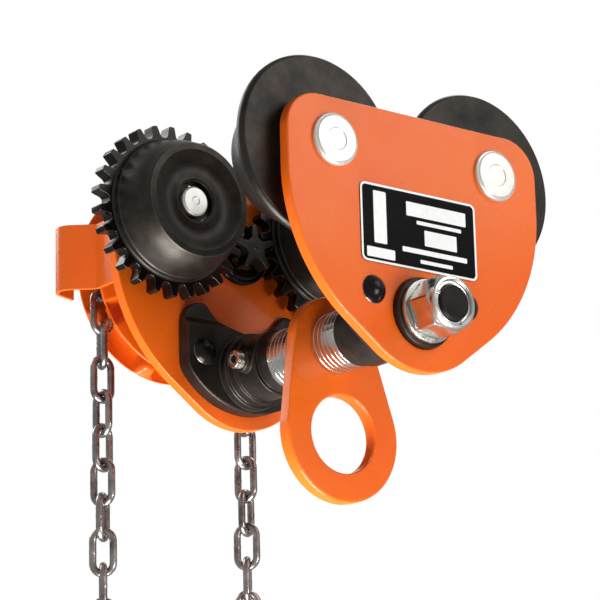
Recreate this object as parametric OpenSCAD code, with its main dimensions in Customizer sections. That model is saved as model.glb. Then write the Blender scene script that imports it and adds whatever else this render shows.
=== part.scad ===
// Geared beam trolley, adjustable, with hand chain drive.
// X runs along the beam, Y from the plain side to the geared side, Z is up.
// The origin is midway between the wheels at the height where the treads meet the beam flange.

/* [Side plates] */
// Distance over the outer faces of the two side plates
over_plates = 194; // [193:1:195]
// Thickness of each side plate
plate_t = 8; // [7:0.5:8]
// Half width of each side plate
plate_half_w = 100; // [98:1:102]
// Distance between the two wheel axles of one side
wheelbase = 128.9; // [128.8:0.1:129]
// Distance from the axle line down to the suspension shaft
shaft_drop = 99.7; // [99:0.1:101]

/* [Wheels] */
// Radius of the plain wheel flange
flange_r = 59; // [57:0.5:60]
// Tread radius beside the flange
tread_big_r = 46.1; // [45.6:0.1:46.4]
// Tread radius at the open end
tread_small_r = 42.6; // [42:0.1:43]
// Radius at which the treads run on the beam
running_r = 44; // [43.5:0.1:45]
// Radius of the riveted axle heads
axle_head_r = 16.6; // [15:0.1:18]

/* [Gearing] */
// Teeth on each geared wheel
gear_teeth = 26; // [26:1:26]
// Teeth on the drive pinion
pinion_teeth = 5; // [5:1:5]
// Tip radius of the geared wheels
gear_tip_r = 58; // [57.5:0.1:58]
// Tip radius of the pinion
pinion_tip_r = 16; // [15.5:0.1:16]
// Distance from wheel axle to drive shaft
gear_centres = 66.3; // [66.2:0.1:66.6]

/* [Suspension] */
// Radius of the suspension shaft
shaft_r = 11; // [11:0.5:11]
// Thickness of one spacer washer
spacer_t = 4; // [3.8:0.1:4]
// Outer radius of the spacer washers
spacer_r = 19.9; // [18:0.1:21]
// Radius of the hanger eye
eye_r = 25.1; // [24:0.1:26]
// Outer radius round the hanger eye
hanger_big_r = 43.8; // [42:0.1:45]
// Outer radius round the hanger's shaft hole
hanger_small_r = 31; // [30:0.1:32]
// Distance from shaft hole to eye
hanger_len = 58; // [57:0.1:60]
// Angle at which the clamped hanger rests
hanger_rest = 5.5; // [0:0.5:8]

/* [Hand chain] */
// Diameter of the chain wire
chain_d = 5; // [4.5:0.1:5]
// Pitch of the chain
chain_p = 23.5; // [23.5:0.1:23.5]
// Links in each straight strand
strand_links = 10; // [8:1:12]
// Distance from the rear plate to the middle of the chain wheel
wheel_offset = 69; // [68:0.5:70]

/* [Hidden] */

$fn = 96;
e = 0.02;                                   // small assembly gap
half = over_plates / 2;
axle_z = running_r;                         // height of the wheel axles
shaft_z = axle_z - shaft_drop;              // height of the suspension shaft
axle_x = wheelbase / 2;
drive_z = axle_z - sqrt(gear_centres * gear_centres - axle_x * axle_x);
nose = 62;                                  // plate outer face to the nose of a shaft holder
wheel_y = half + wheel_offset;              // middle of the chain wheel
orange = "#e86a24";
cast = "#2c2927";
zinc = "#d8d8d4";
steel = "#8d8a86";

// Points along an arc round c, from angle a to angle b, in n steps
function arc(c, r, a, b, n) = [for (i = [0:n]) c + r * [cos(a + (b - a) * i / n), sin(a + (b - a) * i / n)]];
function mirrored(p) = [for (i = [len(p) - 1:-1:0]) [-p[i][0], p[i][1]]];
function unit(v) = v / norm(v);
// Normal of a path at point i, and the outline of a strip of thickness t along it
function tangent(p, i) = unit(p[min(i + 1, len(p) - 1)] - p[max(i - 1, 0)]);
function side(p, d) = [for (i = [0:len(p) - 1]) p[i] + d * [-tangent(p, i)[1], tangent(p, i)[0]]];
function strip(p, t) = concat(side(p, t / 2), [for (i = [len(p) - 1:-1:0]) side(p, -t / 2)[i]]);

// Frames with local z running inwards from the outer face of a plate, and local y up
module at_front(x, z) translate([x, -half, z]) mirror([0, 1, 0]) rotate([90, 0, 0]) children();
module at_rear(x, z) translate([x, half, z]) rotate([90, 0, 0]) children();
// A ring between two radii and two distances from the plate face
module ring(ri, ro, a, b) translate([0, 0, a]) difference() {
    cylinder(r = ro, h = b - a);
    translate([0, 0, -1]) cylinder(r = ri, h = b - a + 2);
}
module lathe(points) rotate_extrude() polygon(points);

// ---- side plates ----
corner_r = 24;
side_r = 111;
foot_r = 56;
plate_top = 27.7;
plate_bottom = 136.3;
plate_side = concat(
    arc([0, foot_r - plate_bottom], foot_r, -90, -53, 10),
    arc([plate_half_w - side_r, -20], side_r, -53, 0, 22),
    arc([plate_half_w - corner_r, plate_top - corner_r], corner_r, 0, 90, 12));
module plate_outline() translate([0, axle_z]) polygon(concat(plate_side, mirrored(plate_side)));
module plate_body() difference() {
    linear_extrude(plate_t) plate_outline();
    for (x = [-axle_x, axle_x]) translate([x, axle_z, -1]) cylinder(r = neck_r + e, h = plate_t + 2);
    translate([0, shaft_z, -1]) cylinder(r = spigot_r + e, h = plate_t + 2);
    for (x = [-rivet_x, rivet_x]) translate([x, shaft_z + rivet_up, -1]) cylinder(r = rivet_r + e, h = plate_t + 2);
}
module front_plate() color(orange) at_front(0, 0) plate_body();
module rear_plate() color(orange) at_rear(0, 0) difference() {
    plate_body();
    translate([0, drive_z, -1]) cylinder(r = housing_r + e, h = plate_t + 2);
    for (x = guide_bolt_x, m = [-1, 1]) translate([m * x, guide_bolt_z, -1])
        cylinder(r = guide_bolt_r + e, h = plate_t + 2);
}

// ---- name plate ----
name_w = 92;
name_h = 50;
name_top = -22.5;
module name_plate() color("black") at_front(0, 0)
    translate([0, axle_z + name_top - name_h / 2, -0.8]) linear_extrude(0.8) union() {
        square([name_w - 8, name_h], center = true);
        square([name_w, name_h - 8], center = true);
        for (x = [-1, 1], y = [-1, 1]) translate([x * (name_w / 2 - 4), y * (name_h / 2 - 4)]) circle(r = 4);
    }

// ---- shaft holders ----
spigot_r = 22;
spigot_out = 4.5;
holder_face = 19;
rivet_x = 37;
rivet_up = 10;
rivet_r = 5.5;
module holder_outline() difference() {
    union() {
        intersection() {
            translate([0, 32.5]) circle(r = 60);
            translate([-50.3, -30]) square([100.6, 60]);
        }
        for (x = [-35, 35]) translate([x, 29]) circle(r = 15.3);
    }
    translate([0, 62]) circle(r = 36);
}
module holder_body() difference() {
    union() {
        translate([0, 0, plate_t]) linear_extrude(holder_face - plate_t) holder_outline();
        cylinder(r = 25.5, h = 24.8);
        cylinder(r = 23.5, h = 32);
        cylinder(r = 22, h = 51.8);
        cylinder(r = 19.8, h = nose);
    }
    // the part inside the plate and the swaged spigot are added below, so clear this space
    translate([0, 0, -1]) cylinder(r = 60, h = 1 + plate_t);
    // the ears fall back towards the plate at their upper ends
    translate([60, 0, 0]) rotate([0, -90, 0]) linear_extrude(120)
        polygon([[holder_face + 1, 28], [holder_face, 28], [14, 33], [12.5, 48], [holder_face + 1, 48]]);
    translate([0, 0, -10]) cylinder(r = shaft_r + 0.05, h = nose + 20);
    for (x = [-rivet_x, rivet_x]) translate([x, rivet_up, -1]) cylinder(r = rivet_r + e, h = 40);
}
module holder() {
    holder_body();
    difference() {
        union() {
            translate([0, 0, -3.6]) cylinder(r = spigot_r, h = plate_t + 3.6);
            translate([0, 0, -spigot_out]) cylinder(r1 = spigot_r - 1, r2 = spigot_r, h = spigot_out - 3.6);
        }
        translate([0, 0, -10]) cylinder(r = shaft_r + 0.05, h = nose + 20);
    }
}
module front_holder() color(cast) at_front(0, shaft_z) holder();
lock_s = 42.4;                              // rear plate face to the lock screw
module rear_holder() color(cast) at_rear(0, shaft_z) difference() {
    union() {
        holder();
        difference() {
            translate([-24, 0, lock_s]) rotate([0, 90, 0]) cylinder(r = 7.5, h = 8);
            translate([0, 0, 20]) cylinder(r = shaft_r + 0.05, h = 40);
        }
    }
    translate([-30, 0, lock_s]) rotate([0, 90, 0]) cylinder(r = 4 + e, h = 30);
}
module dome(r, h) intersection() {
    translate([0, 0, h - (r * r + h * h) / (2 * h)]) sphere(r = (r * r + h * h) / (2 * h));
    cylinder(r = r, h = h);
}
module rivets() for (x = [-rivet_x, rivet_x]) translate([x, rivet_up, 0]) {
    translate([0, 0, -1]) cylinder(r = rivet_r, h = holder_face + 2);
    mirror([0, 0, 1]) dome(9, 5.5);
    translate([0, 0, holder_face]) dome(9, 5.5);
}
module front_holder_rivets() color(cast) at_front(0, shaft_z) rivets();
module rear_holder_rivets() color(cast) at_rear(0, shaft_z) rivets();

// ---- suspension shaft and its fastenings ----
shaft_end = 31.6;                           // front plate face to the shaft's threaded end
head_out = 12;                              // rear plate face to the end of the shaft's head
module suspension_shaft() color(cast) difference() {
    at_front(0, shaft_z) {
        translate([0, 0, -shaft_end + 1]) cylinder(r = shaft_r, h = over_plates + shaft_end + 4);
        translate([0, 0, -shaft_end]) cylinder(r1 = shaft_r - 1, r2 = shaft_r, h = 1);
        translate([0, 0, over_plates + spigot_out + e]) cylinder(r = 17, h = head_out - spigot_out - 1.5);
        translate([0, 0, over_plates + head_out - 1.5]) cylinder(r1 = 17, r2 = 15.5, h = 1.5);
    }
    translate([-shaft_r - 1, half - lock_s, shaft_z]) rotate([0, 90, 0]) cylinder(r = 4 + e, h = 4.2);
}
nut_af = 32;
module shaft_nut() color(zinc) at_front(0, shaft_z) rotate(-10) difference() {
    union() {
        intersection() {
            translate([0, 0, -26.2]) rotate(30) cylinder(r = nut_af / sqrt(3), h = 18, $fn = 6);
            translate([0, 0, -26.2]) union() {
                cylinder(r1 = nut_af / 2 - 0.5, r2 = nut_af / sqrt(3) + 0.1, h = 1.6);
                translate([0, 0, 1.6]) cylinder(r = nut_af / sqrt(3) + 0.1, h = 14.8);
                translate([0, 0, 16.4]) cylinder(r1 = nut_af / sqrt(3) + 0.1, r2 = nut_af / 2 - 0.5, h = 1.6);
            }
        }
        translate([0, 0, -30.2]) cylinder(r = 16.8, h = 4.6);
        translate([0, 0, -31]) cylinder(r1 = 16, r2 = 16.8, h = 0.8);
    }
    translate([0, 0, -40]) cylinder(r = shaft_r + 0.05, h = 60);
    // seat of the locking ring and its two notches
    translate([0, 0, -31.5]) cylinder(r = 14.1, h = 2);
    for (a = [-62, 158]) rotate(a) translate([13, -1.2, -31.5]) cube([2.6, 2.4, 2.4]);
}
module shaft_washer() color(zinc) at_front(0, shaft_z) ring(shaft_r + 0.3, 20, -8.1, -spigot_out - e);
front_spacers_n = 6;
rear_spacers_n = 9;
module spacers(n) for (i = [0:n - 1])
    ring(shaft_r + 0.3, spacer_r, nose + e + i * spacer_t, nose + (i + 1) * spacer_t);
module front_spacers() color(zinc) at_front(0, shaft_z) spacers(front_spacers_n);
module rear_spacers() color(zinc) at_rear(0, shaft_z) spacers(rear_spacers_n);
module shaft_lock_screw() color(zinc) translate([0, half - lock_s, shaft_z]) rotate([0, -90, 0]) difference() {
    union() {
        translate([0, 0, 8.2]) cylinder(r = 4, h = 16);
        translate([0, 0, 24 + e]) cylinder(r = 6, h = 7);
        translate([0, 0, 31 + e]) cylinder(r1 = 6, r2 = 5.2, h = 0.8);
    }
    translate([0, 0, 27]) cylinder(r = 3.5, h = 6, $fn = 6);
}

// ---- hanger ----
hanger_t = spacer_t * 2 + 1.8;
tilt = asin((hanger_big_r - hanger_small_r) / hanger_len);
module hanger_outline() difference() {
    union() {
        circle(r = hanger_small_r);
        translate([0, -hanger_len]) circle(r = hanger_big_r);
        polygon([hanger_small_r * [cos(tilt), sin(tilt)], hanger_small_r * [-cos(tilt), sin(tilt)],
            [0, -hanger_len] + hanger_big_r * [-cos(tilt), sin(tilt)],
            [0, -hanger_len] + hanger_big_r * [cos(tilt), sin(tilt)]]);
    }
    circle(r = shaft_r + 0.08);
    translate([0, -hanger_len]) circle(r = eye_r);
}
hanger_s = nose + front_spacers_n * spacer_t + 0.1;
module hanger() color(orange) translate([0, -half + hanger_s, shaft_z]) rotate([90, 0, 0]) mirror([0, 0, 1])
    rotate(hanger_rest) linear_extrude(hanger_t) hanger_outline();

// ---- wheels, axles and bearings, all measured inwards from the plate's outer face ----
neck_r = 12;
gear_a = 14;                                // faces of the flange or gear
gear_b = 24;
seat_a = 30;                                // the bearing seat
seat_b = 44;
race_r = 23.5;
bore_r = 10;
ball_pitch = 16.75;
ball_r = 3.85;
wheel_end = 53.5;
hub_end = 51.7;
hub_hole = 13.4;
module axle() lathe([[0, -3.5], [axle_head_r - 1.6, -3.5], [axle_head_r, -1.9], [axle_head_r, -e],
    [neck_r, -e], [neck_r, plate_t], [13, plate_t + e], [13, seat_a - e], [bore_r, seat_a - e],
    [bore_r, 44.2], [9.3, 44.2], [9.3, 45.5], [bore_r, 45.5], [bore_r, 49], [9.4, 49.6], [0, 49.6]]);
module race(ri, ro) rotate_extrude() difference() {
    translate([ri, seat_a]) square([ro - ri, seat_b - seat_a]);
    translate([ball_pitch, (seat_a + seat_b) / 2]) circle(r = 4.15);
}
// Tread, rounded end, dished face, hub hole and bearing seat
wheel_inside = [[hub_hole + 1.1, hub_end], [hub_hole, hub_end - 1.1], [hub_hole, seat_b + 0.1], [race_r + e, seat_b + 0.1],
    [race_r + e, seat_a - e], [24.9, seat_a - e], [24.9, seat_a - 1.5], [race_r + e, seat_a - 1.5],
    [race_r + e, 26], [26, 25], [26, gear_a]];
wheel_dish = concat([[running_r, 38]], arc([tread_small_r - 4, 46], 4, 0, 78, 6),
    [[38.9, 51], [38.3, wheel_end - 0.6], [37.7, wheel_end], [33.4, wheel_end]],
    [[31.6, 51.4], [29.4, 49.6], [26, 48.7], [22.6, 49.4], [20.2, 51], [18.8, hub_end]]);
module plain_wheel() lathe(concat(wheel_inside, arc([flange_r - 5, gear_a + 5], 5, -90, 62, 12),
    [[52.4, 24.8], [47.4, 25.9], [tread_big_r, 28.4]], wheel_dish));
module gear_outline() polygon([for (k = [0:gear_teeth - 1])
    for (p = [[49.2, -3.8], [53.5, -3], [gear_tip_r - 0.7, -2.6], [gear_tip_r, -1.9],
              [gear_tip_r, 1.9], [gear_tip_r - 0.7, 2.6], [53.5, 3], [49.2, 3.8]])
    [p[0] * cos(tooth_a(k)) - p[1] * sin(tooth_a(k)), p[0] * sin(tooth_a(k)) + p[1] * cos(tooth_a(k))]]);
function tooth_a(k) = (k + 0.5) * 360 / gear_teeth;
module geared_wheel(mesh_angle) {
    difference() {
        translate([0, 0, gear_a]) rotate(mesh_angle) linear_extrude(gear_b - gear_a) gear_outline();
        translate([0, 0, gear_a - 1]) cylinder(r = 40, h = 20);
    }
    lathe(concat(wheel_inside, [[46, gear_a], [48, gear_a + 1], [48.4, gear_b],
        [tread_big_r + 0.6, 26.6], [tread_big_r, 28.4]], wheel_dish));
}
module balls() for (k = [0:7]) rotate(k * 45) translate([ball_pitch, 0, (seat_a + seat_b) / 2]) sphere(r = ball_r);
module ball_cage() difference() {
    ring(ball_pitch - 1.1, ball_pitch + 1.1, 34.6, 39.4);
    for (k = [0:7]) rotate(k * 45) translate([ball_pitch, 0, (seat_a + seat_b) / 2]) sphere(r = ball_r + 0.1);
}
module seals() {
    ring(14.4, 19.5 - e, seat_a + 0.4, seat_a + 1.4);
    ring(14.4, 19.5 - e, seat_b - 1.4, seat_b - 0.4);
}
module axle_circlip() difference() {
    ring(9.35, 12.4, 44.25, 45.45);
    translate([0, 11, 40]) linear_extrude(10) square([5, 8], center = true);
}
module bore_circlip() difference() {
    ring(21, 24.8, seat_a - 1.45, seat_a - 0.1);
    translate([0, 23, 20]) linear_extrude(20) square([7, 8], center = true);
}
module fl_axle() color(zinc) at_front(-axle_x, axle_z) axle();
module fl_inner_race() color(zinc) at_front(-axle_x, axle_z) race(bore_r + e, 14);
module fl_wheel() color(cast) at_front(-axle_x, axle_z) plain_wheel();
module fl_outer_race() color(zinc) at_front(-axle_x, axle_z) race(19.5, race_r);
module fl_balls() color(zinc) at_front(-axle_x, axle_z) { balls(); ball_cage(); }
module fl_seals() color(cast) at_front(-axle_x, axle_z) seals();
module fl_axle_circlip() color(cast) at_front(-axle_x, axle_z) axle_circlip();
module fl_bore_circlip() color(cast) at_front(-axle_x, axle_z) bore_circlip();
module fr_axle() color(zinc) at_front(axle_x, axle_z) axle();
module fr_inner_race() color(zinc) at_front(axle_x, axle_z) race(bore_r + e, 14);
module fr_wheel() color(cast) at_front(axle_x, axle_z) plain_wheel();
module fr_outer_race() color(zinc) at_front(axle_x, axle_z) race(19.5, race_r);
module fr_balls() color(zinc) at_front(axle_x, axle_z) { balls(); ball_cage(); }
module fr_seals() color(cast) at_front(axle_x, axle_z) seals();
module fr_axle_circlip() color(cast) at_front(axle_x, axle_z) axle_circlip();
module fr_bore_circlip() color(cast) at_front(axle_x, axle_z) bore_circlip();
// direction from each rear axle to the drive shaft, and a pinion tooth lies on the left one
mesh_l = atan2(drive_z - axle_z, axle_x);
mesh_r = 180 - mesh_l;
// the right wheel meets the pinion a part of a tooth later
pinion_left = mesh_l + 180;
right_phase = (mesh_r + 180 - pinion_left) * pinion_teeth / 360;
right_turn = (right_phase - floor(right_phase)) * 360 / gear_teeth;
module rl_axle() color(zinc) at_rear(-axle_x, axle_z) axle();
module rl_inner_race() color(zinc) at_rear(-axle_x, axle_z) race(bore_r + e, 14);
module rl_wheel() color(cast) at_rear(-axle_x, axle_z) geared_wheel(mesh_l);
module rl_outer_race() color(zinc) at_rear(-axle_x, axle_z) race(19.5, race_r);
module rl_balls() color(zinc) at_rear(-axle_x, axle_z) { balls(); ball_cage(); }
module rl_seals() color(cast) at_rear(-axle_x, axle_z) seals();
module rl_axle_circlip() color(cast) at_rear(-axle_x, axle_z) axle_circlip();
module rl_bore_circlip() color(cast) at_rear(-axle_x, axle_z) bore_circlip();
module rr_axle() color(zinc) at_rear(axle_x, axle_z) axle();
module rr_inner_race() color(zinc) at_rear(axle_x, axle_z) race(bore_r + e, 14);
module rr_wheel() color(cast) at_rear(axle_x, axle_z) geared_wheel(mesh_r + right_turn);
module rr_outer_race() color(zinc) at_rear(axle_x, axle_z) race(19.5, race_r);
module rr_balls() color(zinc) at_rear(axle_x, axle_z) { balls(); ball_cage(); }
module rr_seals() color(cast) at_rear(axle_x, axle_z) seals();
module rr_axle_circlip() color(cast) at_rear(axle_x, axle_z) axle_circlip();
module rr_bore_circlip() color(cast) at_rear(axle_x, axle_z) bore_circlip();

// ---- drive shaft and its bearings ----
housing_r = 18;
housing_out = 42;
housing_in = 13.2;
journal_r = 9;
pinion_a = 16.5;
neck_a = 13.6;                              // the journal ends here, so the gear teeth pass clear of it
pinion_b = 27.7;
module drive_housing() color(cast) at_rear(0, drive_z) difference() {
    union() {
        translate([0, 0, -housing_out]) cylinder(r = housing_r, h = housing_out + housing_in);
        translate([0, 0, plate_t]) cylinder(r = 21.6, h = 3.9);
        translate([0, 0, -4]) cylinder(r1 = 20, r2 = 21, h = 4 - e);
    }
    translate([0, 0, -housing_out - 1]) cylinder(r = journal_r + 0.5, h = housing_out + 40);
    translate([0, 0, -5]) cylinder(r = 11.5, h = 30);
    translate([0, 0, -housing_out - 1]) cylinder(r = 11.5, h = 21);
}
module inner_bush() color("peru") at_rear(0, drive_z) ring(journal_r + 0.05, 11.5 - e, -4.9, housing_in);
module outer_bush() color("peru") at_rear(0, drive_z) ring(journal_r + 0.05, 11.5 - e, -housing_out, -22.1);
module pinion_outline() {
    circle(r = 7.6);
    for (k = [0:pinion_teeth - 1]) rotate(pinion_left + k * 360 / pinion_teeth) {
        polygon([[0, -3.3], [7.2, -2.8], [pinion_tip_r - 1.8, -1.8], [pinion_tip_r - 1.8, 1.8], [7.2, 2.8], [0, 3.3]]);
        translate([pinion_tip_r - 1.8, 0]) circle(r = 1.8);
    }
}
hub_a = wheel_offset - 24;                  // chain wheel hub, outwards from the rear plate
hub_b = wheel_offset + 12;
module drive_shaft() color(steel) at_rear(0, drive_z) difference() {
    union() {
        translate([0, 0, pinion_a]) linear_extrude(pinion_b - pinion_a) pinion_outline();
        mirror([0, 0, 1]) lathe([[0, -pinion_a - 1], [7.6, -pinion_a - 1], [7.6, -neck_a], [journal_r, -neck_a],
            [journal_r, hub_a - 0.3],
            [8, hub_a - 0.3], [8, hub_b - 1], [7, hub_b - 1], [7, hub_b + 18], [6, hub_b + 19], [0, hub_b + 19]]);
    }
    // key seat, split pin hole and centre mark
    translate([-2.5, 5, -hub_b + 4]) cube([5, 5, hub_b - hub_a - 8]);
    translate([-20, 0, -hub_b - 11.6]) rotate([0, 90, 0]) cylinder(r = 1.7, h = 40);
    translate([0, 0, pinion_b - 1.5]) cylinder(r1 = 0, r2 = 1.6, h = 1.6);
}
module thrust_washer() color("peru") at_rear(0, drive_z) ring(journal_r + 0.05, 16, -hub_a + 0.3, -housing_out - 0.1);

// ---- chain wheel ----
rim_r = 71;
rim_half = 13;
groove_half = 3.6;
floor_r = 55.2;                             // the links in the pockets lie just clear of this
module chain_wheel() color(orange) translate([0, wheel_y, drive_z]) rotate([-90, 0, 0]) difference() {
    union() {
        translate([0, 0, -24]) cylinder(r = 16, h = 36);
        rotate_extrude() polygon([[15, -3], [44, -3], [50, -rim_half + 1.5], [54, -rim_half], [rim_r - 1, -rim_half],
            [rim_r, -rim_half + 1], [rim_r, -rim_half + 2.2], [62, -10.2], [floor_r, -10.2], [floor_r, 10.2],
            [62, 10.2], [rim_r, rim_half - 2.2], [rim_r, rim_half - 1], [rim_r - 1, rim_half], [54, rim_half],
            [50, rim_half - 1.5], [44, 3], [15, 3]]);
        // lugs between the pockets
        for (k = [0:7]) rotate(wheel_phase + k * 45 + 11.25) translate([0, 0, -11])
            linear_extrude(22) lug_outline();
    }
    // groove for the upright links
    rotate_extrude() translate([48.1, -groove_half]) square([40, 2 * groove_half]);
    translate([0, 0, -30]) cylinder(r = 8 + 0.01, h = 60);
    translate([-2.5, -10.4, -30]) cube([5, 10.4, 60]);
}
module lug_outline() polygon([[54, -6.4], [60.5, -6], [66, -4.4], [68, -3], [68, 3], [66, 4.4], [60.5, 6], [54, 6.4]]);
module wheel_key() color(steel) translate([0, wheel_y, drive_z]) rotate([-90, 0, 0])
    translate([-2.5 + e, -10.2, -19.9]) cube([5 - 2 * e, 5.1, 27.8]);
module wheel_nut() color(zinc) at_rear(0, drive_z) difference() {
    union() {
        translate([0, 0, -hub_b - 8]) cylinder(r = 22 / sqrt(3), h = 8 - e, $fn = 6);
        translate([0, 0, -hub_b - 14]) cylinder(r = 9.6, h = 7);
    }
    translate([0, 0, -hub_b - 15]) cylinder(r = 7.05, h = 20);
    for (a = [0:60:120]) rotate(a) translate([-15, -1.9, -hub_b - 15]) cube([30, 3.8, 5.4]);
}
module nut_split_pin() color(steel) at_rear(0, drive_z) translate([0, 0, -hub_b - 11.6]) {
    translate([-11, 0, 0]) rotate([0, 90, 0]) cylinder(r = 1.5, h = 22);
    translate([-12.5, 0, 0]) rotate([90, 0, 0]) cylinder(r = 2.6, h = 3, center = true);
    translate([10.9, 0, -1.4]) rotate([90, 0, 0]) cylinder(r = 1.4, h = 5);
}

// ---- chain guides ----
guide_t = 2.5;
guide_x = 79;
guide_low = 5;
guide_high = 50;
guide_bolt_x = [57, 70];
guide_bolt_z = 14;
guide_bolt_r = 3;
bend_c = [-86.5, half + wheel_offset - 5.4];
guide_path = concat([[-guide_x, half + e], [-guide_x, bend_c[1] - 21], [-guide_x - 0.6, bend_c[1] - 18.6]],
    arc(bend_c, 10, 229.4, 110, 12), [bend_c + 10 * [cos(110), sin(110)] + 13.2 * [cos(20), sin(20)]]);
module guide() difference() {
    union() {
        translate([0, 0, guide_low]) linear_extrude(guide_high - guide_low) polygon(strip(guide_path, guide_t));
        translate([-guide_x, half + e, guide_low]) cube([29, guide_t, 18]);
    }
    // the upper part of the arm stands clear of the axle head
    translate([-guide_x - 5, half - 1, guide_low + 18]) cube([20, 7, 60]);
    for (x = guide_bolt_x) translate([-x, half - 1, guide_bolt_z]) rotate([-90, 0, 0]) cylinder(r = guide_bolt_r + e, h = 8);
}
module guide_left() color(orange) guide();
module guide_right() color(orange) mirror([1, 0, 0]) guide();
module guide_bolts() color(zinc) for (x = guide_bolt_x, m = [-1, 1])
    translate([m * x, half + guide_t + 2 * e, guide_bolt_z]) rotate([-90, 0, 0]) {
        cylinder(r = 10 / sqrt(3), h = 4, $fn = 6);
        translate([0, 0, -guide_t - plate_t]) cylinder(r = guide_bolt_r, h = guide_t + plate_t + 1);
    }

// ---- hand chain: an endless loop over the wheel, with two straight strands ----
link_in = chain_p + 0.24;
link_w = 13.7;                              // distance between the middles of a link's two sides
bend_p = chain_p - 0.4;                     // bent links ride into each other a little
chain_x = bend_p / 2 / sin(11.25);          // the joints lie this far from the wheel's axis
strand = strand_links * chain_p;
chain_slip = 4.5;                           // how far the chain has run past the tangent point
wheel_phase = chain_slip / chain_p * 22.5;
twist_step = 11;                            // turn per link in the lower, free half of the strands
// Place of a joint, counted in links from the left tangent point downwards
function joint_at(u) = let(v = u - strand_links, w = v - 8 - strand_links)
    v < 0 ? [-chain_x, -u * chain_p] :
    v < 8 ? [0, -strand] + chain_x * [cos(180 + v * 22.5), sin(180 + v * 22.5)] :
    w < 0 ? [chain_x, w * chain_p] :
    chain_x * [cos(w * 22.5), sin(w * 22.5)];
// Links hang square below the wheel for half a strand, then turn; one stands askew as it leaves the guide
function turned(t) = t == 2 ? -21 : twist_step * max(0, t - strand_links / 2 + 1.4);
function twist(i) = let(low = turned(strand_links - 1), j = i - strand_links)
    i < strand_links ? -turned(i) :
    j < 8 ? -low - (180 - 2 * low) * (j + 1) / 9 :
    j < 8 + strand_links ? turned(max(3, strand_links + 7 - j)) : 0;
module link() {
    for (m = [-1, 1]) {
        translate([m * link_w / 2, 0, 0]) cylinder(d = chain_d, h = link_in + chain_d - link_w, center = true, $fn = 24);
        translate([0, 0, m * (link_in + chain_d - link_w) / 2]) rotate([m * 90, 0, 0])
            rotate_extrude(angle = 180, $fn = 36) translate([link_w / 2, 0]) circle(d = chain_d, $fn = 24);
    }
}
module place_link(i) {
    a = joint_at(i - chain_slip / chain_p);
    b = joint_at(i + 1 - chain_slip / chain_p);
    translate([(a + b)[0] / 2, wheel_y, drive_z + (a + b)[1] / 2])
        rotate([0, atan2((b - a)[0], (b - a)[1]), 0]) rotate(twist(i) + ((i + 1) % 2) * 90) link();
}
free_links = 2 * strand_links + 8;
module hand_chain() color(steel) for (i = [0:free_links - 1]) place_link(i);
module chain_on_wheel() color(steel) for (i = [free_links:free_links + 7]) place_link(i);

front_plate();
rear_plate();
name_plate();
front_holder();
rear_holder();
front_holder_rivets();
rear_holder_rivets();
suspension_shaft();
shaft_nut();
shaft_washer();
front_spacers();
rear_spacers();
shaft_lock_screw();
hanger();
fl_axle();
fl_inner_race();
fl_wheel();
fl_outer_race();
fl_balls();
fl_seals();
fl_axle_circlip();
fl_bore_circlip();
fr_axle();
fr_inner_race();
fr_wheel();
fr_outer_race();
fr_balls();
fr_seals();
fr_axle_circlip();
fr_bore_circlip();
rl_axle();
rl_inner_race();
rl_wheel();
rl_outer_race();
rl_balls();
rl_seals();
rl_axle_circlip();
rl_bore_circlip();
rr_axle();
rr_inner_race();
rr_wheel();
rr_outer_race();
rr_balls();
rr_seals();
rr_axle_circlip();
rr_bore_circlip();
drive_housing();
inner_bush();
outer_bush();
drive_shaft();
thrust_washer();
chain_wheel();
wheel_key();
wheel_nut();
nut_split_pin();
guide_left();
guide_right();
guide_bolts();
chain_on_wheel();
hand_chain();
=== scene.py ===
"""Looks of a geared beam trolley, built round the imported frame. Lengths are in millimetres until they
reach a mesh, and every piece sits where the frame's own part sits."""
import math
import bpy
import bmesh
from mathutils import Matrix, Vector
from mathutils.geometry import tessellate_polygon


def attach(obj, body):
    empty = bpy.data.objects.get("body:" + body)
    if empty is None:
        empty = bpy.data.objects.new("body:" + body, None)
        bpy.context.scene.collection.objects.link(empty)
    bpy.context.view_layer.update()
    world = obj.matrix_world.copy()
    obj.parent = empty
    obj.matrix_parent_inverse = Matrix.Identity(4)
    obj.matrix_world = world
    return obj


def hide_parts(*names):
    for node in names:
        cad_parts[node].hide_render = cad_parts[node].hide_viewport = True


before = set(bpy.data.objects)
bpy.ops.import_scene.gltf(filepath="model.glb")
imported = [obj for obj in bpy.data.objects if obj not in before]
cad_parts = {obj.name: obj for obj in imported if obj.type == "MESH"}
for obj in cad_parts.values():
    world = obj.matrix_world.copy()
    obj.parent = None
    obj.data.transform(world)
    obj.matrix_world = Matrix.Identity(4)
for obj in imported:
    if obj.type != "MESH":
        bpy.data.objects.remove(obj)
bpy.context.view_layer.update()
MM = 0.001

# ---------------------------------------------------------------- driving sizes, as in the part
HALF = 97.0                      # centre to a side plate's outer face
PLATE_T = 8.0
AXLE_X, AXLE_Z = 64.45, 44.0     # wheel axles from the middle and above the running line
SHAFT_DROP = 99.7                # axle line down to the suspension shaft
SHAFT_Z = AXLE_Z - SHAFT_DROP
SHAFT_R = 11.0
HOLDER_TOP = 19.0                # plate's outer face to the inner face of the holder's flange
HOLDER_END = 62.0                # plate's outer face to the end of the holder's tube
HOLDER_CUT = 50.3                # half width of the holder's flange
RIVET_X, RIVET_UP, RIVET_R = 37.0, 10.0, 5.5
LOCK_SCREW_S = 42.4              # rear plate's outer face to the lock screw
SPACER_T = 4.0
SPACERS = {"front": 6, "rear": 9}
HANGER_SMALL_R, HANGER_BIG_R = 31.0, 43.8
EYE_R, EYE_DROP = 25.1, 58.0
HANGER_LEAN = 5.5                # degrees off plumb at rest
GEAR_TEETH, PINION_TEETH = 26, 5
GEAR_CENTRES = 66.3              # wheel axle to drive shaft
DRIVE_Z = AXLE_Z - math.sqrt(GEAR_CENTRES ** 2 - AXLE_X ** 2)
WHEEL_Y = HALF + 69.0            # middle of the chain wheel
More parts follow.
